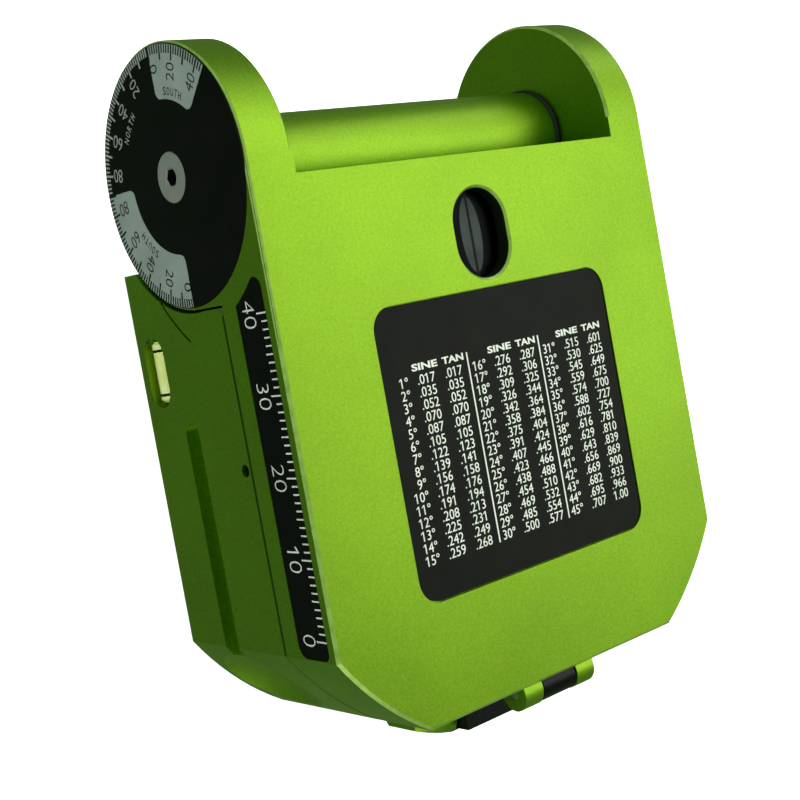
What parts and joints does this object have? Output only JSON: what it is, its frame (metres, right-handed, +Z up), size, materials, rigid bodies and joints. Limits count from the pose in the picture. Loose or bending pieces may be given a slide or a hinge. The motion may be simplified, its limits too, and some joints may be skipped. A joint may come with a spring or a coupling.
{
  "type": "pocket transit",
  "caption": "Green anodised pocket transit: a compass in a hinged case with a mirror lid, folding sights, a hinge inclinometer dial, a side scale and a table of sines and tangents on the lid.",
  "frame": {"origin": "Centre of the compass axis on the flat underside of the case", "axes": "+X to the right across the case, +Y from the sights at the front to the lid's hinge, +Z up through the lid"},
  "size_m": [0.0702, 0.0964, 0.0338],
  "materials": {
    "green_anodised": "bead blasted, anodised, fine satin",
    "black_anodised": "black anodised, satin",
    "silver_anodised": "clear anodised, fine satin",
    "brass_bare": "turned, lightly polished",
    "steel_bare": "turned stainless, fine brushed",
    "black_plastic": "low friction, matte",
    "black_rubber": "smooth matte",
    "clear_glass": "polished, clear",
    "level_fluid": "polished, filled with yellow green fluid",
    "silvered_glass": "silvered, with a clear oval and a sighting line",
    "dial_print": "anodised black, printed in white",
    "table_print": "anodised dark grey, printed in white"
  },
  "bodies": {
    "case": {"base_case": "green_anodised", "hinge_bushes": "brass_bare", "friction_washers": "black_plastic", "compass_bowl": "black_anodised", "pivot_post": "steel_bare", "crystal_gasket": "black_rubber", "crystal": "clear_glass", "crystal_ring": "silver_anodised", "ring_set_screw": "steel_bare", "level_cup": "brass_bare", "level_glass": "level_fluid", "side_vial": "level_fluid", "arm_hinge_pin": "steel_bare", "pinion_bush": "brass_bare"},
    "azimuth_wheel": {"azimuth_ring": "silver_anodised"},
    "pinion": {"azimuth_pinion": "brass_bare"},
    "compass_needle": {"needle": "steel_bare", "needle_hub": "brass_bare"},
    "needle_lock": {"lock_button": "steel_bare"},
    "long_sight": {"sight_arm": "black_anodised", "arm_peep_pin": "steel_bare"},
    "folding_peep": {"arm_peep": "black_anodised"},
    "lid": {"lid_shell": "green_anodised", "hinge_axle": "steel_bare", "hinge_screws": "steel_bare", "inclinometer_dial": "dial_print", "side_scale": "dial_print", "table_plate": "table_print", "lid_mirror": "silvered_glass", "mirror_bezel": "black_anodised", "mirror_screws": "steel_bare", "lid_peep_pin": "steel_bare"},
    "lid_sight": {"lid_peep": "black_anodised"}
  },
  "joints": [
    {"name": "lid_hinge", "type": "hinge", "parent": "case", "child": "lid", "pos_m": [0, 0.0382, 0.0169], "axis": [-1, 0, 0], "range_deg": [0, 225]},
    {"name": "long_sight_hinge", "type": "hinge", "parent": "case", "child": "long_sight", "pos_m": [0, -0.0386, 0.0208], "axis": [1, 0, 0], "range_deg": [0, 180]},
    {"name": "peep_hinge", "type": "hinge", "parent": "long_sight", "child": "folding_peep", "pos_m": [0, 0.0004, 0.0242], "axis": [1, 0, 0], "range_deg": [0, 90]},
    {"name": "lid_sight_hinge", "type": "hinge", "parent": "lid", "child": "lid_sight", "pos_m": [0, -0.0362, 0.0311], "axis": [-1, 0, 0], "range_deg": [0, 180]},
    {"name": "azimuth_turn", "type": "hinge", "parent": "case", "child": "azimuth_wheel", "pos_m": [0, 0, 0.0168], "axis": [0, 0, 1], "continuous": true},
    {"name": "pinion_turn", "type": "hinge", "parent": "case", "child": "pinion", "pos_m": [0.02125, -0.02125, 0.01], "axis": [0, 0, 1], "continuous": true},
    {"name": "needle_swing", "type": "hinge", "parent": "case", "child": "compass_needle", "pos_m": [0, 0, 0.0168], "axis": [0, 0, 1], "continuous": true},
    {"name": "lock_press", "type": "slide", "parent": "case", "child": "needle_lock", "axis": [0, 0, -1], "range_m": [0, 0.0006], "stiffness_N_per_m": 300, "springref_m": -0.001}
  ],
  "couplings": [
    {"joint": "long_sight_hinge", "follows": "lid_hinge", "ratio": 0.8},
    {"joint": "peep_hinge", "follows": "lid_hinge", "ratio": 0.4},
    {"joint": "pinion_turn", "follows": "azimuth_turn", "ratio": -9}
  ]
}
